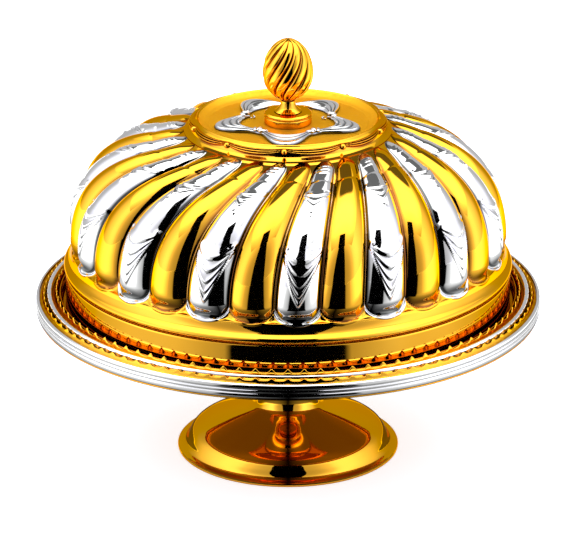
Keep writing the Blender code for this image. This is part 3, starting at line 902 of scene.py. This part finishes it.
def make_knob():
    """Grooved drum and small waisted cone."""
    groove = CROWN_FLOOR + 0.62 * (DRUM_TOP - CROWN_FLOOR)
    drum = [
        (CONE_RADIUS + 0.0006, DRUM_TOP - 0.0001),
        (DRUM_RADIUS - 0.0012, DRUM_TOP - 0.0001),
        (DRUM_RADIUS, DRUM_TOP - 0.0010),
        (DRUM_RADIUS, groove + 0.0005),
        (DRUM_RADIUS - 0.0006, groove),
        (DRUM_RADIUS, groove - 0.0005),
        (DRUM_RADIUS, CROWN_FLOOR),
        (BORE, CROWN_FLOOR),
        (BORE, DRUM_TOP - 0.0001),
    ]
    turned("drum", softened(drum, 0.0002), GOLD, "lid", ["knob_base"], 160, 60)
    cone = through([
        (0.0045, CONE_TOP),
        (0.0048, CONE_TOP - 0.0016),
        (0.0060, CONE_TOP - 0.0040),
        (0.0079, CONE_TOP - 0.0060),
        (CONE_RADIUS - 0.0002, CONE_BOTTOM + 0.0002),
    ]) + [(CONE_RADIUS, CONE_BOTTOM), (BORE, CONE_BOTTOM), (BORE, CONE_TOP)]
    turned("cone", cone, GOLD, "lid", ["knob_cone"], 128)


def make_finial():
    """Egg with twelve swirled flutes that run together at both ends."""
    flutes = 12
    per_flute = 22
    rows = 90
    twist = math.radians(95)
    widest = FINIAL_BOTTOM + 0.44 * (FINIAL_TOP - FINIAL_BOTTOM)
    share = (1 - np.cos(np.linspace(0.17, math.pi - 0.02, rows))) / 2
    height = FINIAL_BOTTOM + share * (FINIAL_TOP - FINIAL_BOTTOM)
    half = np.where(height < widest, widest - FINIAL_BOTTOM, FINIAL_TOP - widest)
    radius = FINIAL_WIDE * np.clip(1 - (np.abs(height - widest) / half) ** 2.1, 0, 1) ** 0.55
    columns = flutes * per_flute
    across = (np.arange(columns) % per_flute) / per_flute * 2 - 1
    dip = np.abs(across) ** 3.6
    sunk = 0.0027 * np.clip(radius / FINIAL_WIDE, 0, 1)[:, None] ** 0.7 * dip[None, :]
    angle = np.arange(columns)[None, :] / columns * math.tau + twist * share[:, None]
    egg = polar_grid(np.maximum(radius[:, None] - sunk, 0.0001), angle, height[:, None])
    socket_and_base = [(BORE, FINIAL_BOTTOM + 0.0100), (BORE, FINIAL_BOTTOM), (0.0043, FINIAL_BOTTOM)]
    below = [polar_grid(r, angle[0], z) for r, z in socket_and_base]
    points = np.concatenate([below, egg])
    mesh = grid_mesh("egg", points, cap_first=True, cap_last=True, sharp=80)
    # Painted shade in the grooves between the flutes.
    groove = np.clip((np.abs(across) - 0.76) / 0.24, 0, 1)
    store(mesh, "painted_shade", np.tile(0.9 * groove, (len(points), 1)))
    fix_outward(mesh)
    new_object("egg", mesh, GOLD, "lid", ["finial"])


# ---------------------------------------------------------------- fixings, stage, light and camera

CEILING = 2.3                 # height of the soft light overhead


def finish_fixings():
    """The hidden bolt, stud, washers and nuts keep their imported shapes."""
    for name in ("centre_bolt", "foot_washer", "foot_nut", "lid_stud", "lid_washer", "lid_nut"):
        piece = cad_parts[name]
        for slot in piece.material_slots:
            slot.material = STEEL


def pale_floor():
    """White paper that glows a little, so that it stays pale under soft light."""
    material = bpy.data.materials.new("pale_floor")
    material.use_nodes = True
    shader = material.node_tree.nodes["Principled BSDF"]
    shader.inputs["Base Color"].default_value = (0.80, 0.80, 0.80, 1.0)
    shader.inputs["Roughness"].default_value = 0.9
    shader.inputs["Specular IOR Level"].default_value = 0.0
    shader.inputs["Emission Color"].default_value = (1.0, 1.0, 1.0, 1.0)
    shader.inputs["Emission Strength"].default_value = 0.67
    return material


def bare_light(name):
    """A surface that only gives light, and the node that sets how much."""
    material = bpy.data.materials.new(name)
    material.use_nodes = True
    tree = material.node_tree
    tree.nodes.clear()
    out = tree.nodes.new("ShaderNodeOutputMaterial")
    glow = tree.nodes.new("ShaderNodeEmission")
    tree.links.new(glow.outputs["Emission"], out.inputs["Surface"])
    return material, glow


def black_cloth():
    """A surface that neither shines nor gives light."""
    material, glow = bare_light("black_cloth")
    glow.inputs["Strength"].default_value = 0.0
    return material


def glow_material(name):
    """A light surface whose brightness is stored in its mesh."""
    material, glow = bare_light(name)
    level = material.node_tree.nodes.new("ShaderNodeAttribute")
    level.attribute_name = "glow"
    material.node_tree.links.new(level.outputs["Fac"], glow.inputs["Strength"])
    return material


def card(name, material, corners):
    """A flat card given by its corners; part of the studio, not of the object."""
    mesh = bpy.data.meshes.new(name)
    mesh.from_pydata([Vector(c) for c in corners], [], [list(range(len(corners)))])
    mesh.materials.append(material)
    piece = link_object(name, mesh)
    return piece


def fan(name, material, near, far, spread_near, spread_far):
    """A card in front of the dish between two (distance, height) places, spreading by two angles."""
    apex = 0.14
    corners = []
    for (distance, height), spread, sides in ((near, spread_near, (-1, 1)), (far, spread_far, (1, -1))):
        half = math.tan(math.radians(spread)) * (distance - apex)
        corners += [(side * half, -distance, height) for side in sides]
    piece = card(name, material, corners)
    piece.visible_camera = False
    piece.visible_shadow = False


def add_glow_card(name, mesh, level):
    """A surface that only the metal's reflections see."""
    store(mesh, "glow", level)
    mesh.materials.append(glow_material(name))
    piece = link_object(name, mesh)
    piece.visible_camera = False
    piece.visible_diffuse = False
    piece.visible_shadow = False


def table_glow(distance, side):
    """Brightness of the table top seen in the metal; side is the angle from the camera's direction."""
    # Low near the dish: a painted shadow of the dish on the table, which only the metal sees.
    near = np.interp(distance, [0.0, 0.20, 0.30, 0.36, 0.42, 0.50], [0.22, 0.24, 0.36, 0.70, 1.0, 1.05])
    near = near * np.interp(side, [0, 26, 35, 50, 75, 105, 180], [0.0, 0.50, 0.66, 0.92, 1.0, 0.7, 0.6])
    far = np.interp(side, [0, 26, 40, 55, 70, 110, 180], [0.0, 0.45, 0.80, 1.9, 2.5, 1.9, 1.1])
    blend = np.clip((distance - 0.50) / 0.10, 0, 1)
    slot = np.clip((side - 24) / 3, 0, 1)
    return np.where(distance > 0.36, slot, 1.0) * (near * (1 - blend) + far * blend)


def make_table_glow():
    """What the polished metal sees of the table: a painted shadow under the dish, dark in front, bright
    beside it.
    """
    under = [0.02, 0.10, 0.20, 0.25, 0.30, 0.35, 0.358]
    beside = [0.362, 0.40, 0.45, 0.50, 0.55, 0.60, 0.8, 1.2, 2.5, 6.0, 11.9]
    distances = np.array(under + beside)
    angles = np.linspace(0, math.tau, 240, endpoint=False)
    points = polar_grid(distances[:, None], angles[None, :], 0.002)
    mesh = grid_mesh("table_glow", points, cap_first=True)
    side = np.degrees(np.minimum(angles, math.tau - angles))
    add_glow_card("table_glow", mesh, table_glow(distances[:, None], side[None, :]))


def make_ceiling_glow():
    """The soft light overhead as the polished metal sees it, with a dark patch towards the back."""
    half_width = 2.4
    front = -1.8
    back = 2.5
    x, y = np.meshgrid(np.linspace(-half_width, half_width, 97), np.linspace(front, back, 87))
    level = np.interp(y, [front, -1.2, -0.4, 0.5, 1.0, back], [1.1, 1.7, 2.9, 3.0, 2.5, 1.2])
    level = level * np.interp(np.abs(x), [0.0, 1.2, half_width], [1.0, 1.0, 0.65])
    dark = np.clip((1.0 - np.hypot(x / 1.5, (y - 1.95) / 1.1)) / 0.12, 0, 1)
    level = level * (1 - dark) + 0.15 * dark
    rows, columns = x.shape
    index = np.arange(rows * columns).reshape(rows, columns)
    faces = np.stack([index[:-1, :-1], index[1:, :-1], index[1:, 1:], index[:-1, 1:]], -1)
    points = np.stack([x, y, np.full_like(x, CEILING)], -1)
    mesh = bpy.data.meshes.new("ceiling_glow")
    mesh.from_pydata(points.reshape(-1, 3).tolist(), [], faces.reshape(-1, 4).tolist())
    add_glow_card("ceiling_glow", mesh, level)


def make_top_light():
    """The soft light overhead, which the metal sees as the ceiling glow instead."""
    light = bpy.data.lights.new("top_box", "AREA")
    light.shape = "RECTANGLE"
    light.size = 3.0
    light.size_y = 1.9
    light.energy = 48
    light.color = (0.80, 0.80, 0.95)
    lamp = link_object("top_box", light)
    lamp.location = (0.0, 0.1, CEILING)
    lamp.rotation_euler = Vector((0, 0, -1)).to_track_quat("-Z", "Y").to_euler()
    lamp.visible_camera = False
    lamp.visible_glossy = False


def make_tent():
    """A pale tent all round: grey in front, brightest at the sides and dark behind."""
    world = bpy.context.scene.world or bpy.data.worlds.new("tent")
    bpy.context.scene.world = world
    world.use_nodes = True
    tree = world.node_tree
    background = tree.nodes["Background"]
    direction = tree.nodes.new("ShaderNodeTexCoord")
    split = tree.nodes.new("ShaderNodeSeparateXYZ")
    shift = tree.nodes.new("ShaderNodeMapRange")
    shift.inputs["From Min"].default_value = -1.0
    walls = tree.nodes.new("ShaderNodeFloatCurve")
    curve = walls.mapping.curves[0]
    curve.points[0].location = (0.0, 0.25)
    curve.points[1].location = (1.0, 0.26)
    for x, y in ((0.05, 0.26), (0.20, 0.55), (0.33, 0.95), (0.50, 0.80), (0.70, 0.50), (0.86, 0.26)):
        curve.points.new(x, y)
    walls.mapping.update()
    double = tree.nodes.new("ShaderNodeMath")
    double.operation = "MULTIPLY"
    double.inputs[1].default_value = 2.0
    tint = tree.nodes.new("ShaderNodeMix")
    tint.data_type = "RGBA"
    tint.inputs[6].default_value = (1.0, 0.98, 0.92, 1.0)
    tint.inputs[7].default_value = (1.0, 1.0, 1.25, 1.0)
    tree.links.new(direction.outputs["Generated"], split.inputs["Vector"])
    tree.links.new(split.outputs["Y"], shift.inputs["Value"])
    tree.links.new(shift.outputs["Result"], walls.inputs["Value"])
    tree.links.new(walls.outputs["Value"], double.inputs[0])
    tree.links.new(double.outputs["Value"], background.inputs["Strength"])
    tree.links.new(walls.outputs["Value"], tint.inputs["Factor"])
    tree.links.new(tint.outputs[2], background.inputs["Color"])


def make_studio():
    """A pale floor in a tent with soft light overhead, and a dark slot on the camera's side."""
    size = 12.0
    card("floor", pale_floor(), [(-size, -size, 0), (size, -size, 0), (size, size, 0), (-size, size, 0)])
    make_table_glow()
    black = black_cloth()
    fan("slot_front", black, (1.30, 0.0), (1.30, 1.50), 26, 17)
    fan("slot_hood", black, (1.30, 1.50), (0.60, 1.26), 20, 26)
    make_tent()
    make_top_light()
    make_ceiling_glow()


def make_camera():
    """The photograph's viewpoint: a long lens, looking down by about 21 degrees."""
    look_down = 20.722
    lens = bpy.data.cameras.new("camera")
    lens.lens = 234.3
    lens.sensor_width = 36.0
    lens.shift_x = 0.0026
    lens.clip_end = 50.0
    camera = link_object("camera", lens)
    camera.location = (0.0, -2.3772, 1.0244)
    camera.rotation_euler = (math.radians(90 - look_down), 0.0, 0.0)
    bpy.context.scene.camera = camera


def set_look():
    """Plain colours, with no film look."""
    settings = bpy.context.scene.view_settings
    settings.view_transform = "Standard"
    settings.look = "None"
    settings.exposure = 0.0
    settings.gamma = 1.0


make_camera()
set_look()
make_studio()
make_foot()
make_stem()
make_dish()
make_band()
make_edge_wire()
make_half_round("silver_rib", "silver_rib_ring", 0.0031, RIM_SILVER, 16)
make_half_round("well_bead", "well_wire", 0.0008, GOLD, 8)
make_notched_ring("outer_notches", "outer_notched_ring", OUTER_RING_INSIDE, OUTER_TEETH)
make_notched_ring("inner_notches", "inner_notched_ring", INNER_RING_INSIDE, INNER_TEETH)
make_dome()
make_lid_wall()
make_crown()
make_crown_beads()
make_garland()
make_garland_bows()
make_knob()
make_finial()
finish_fixings()
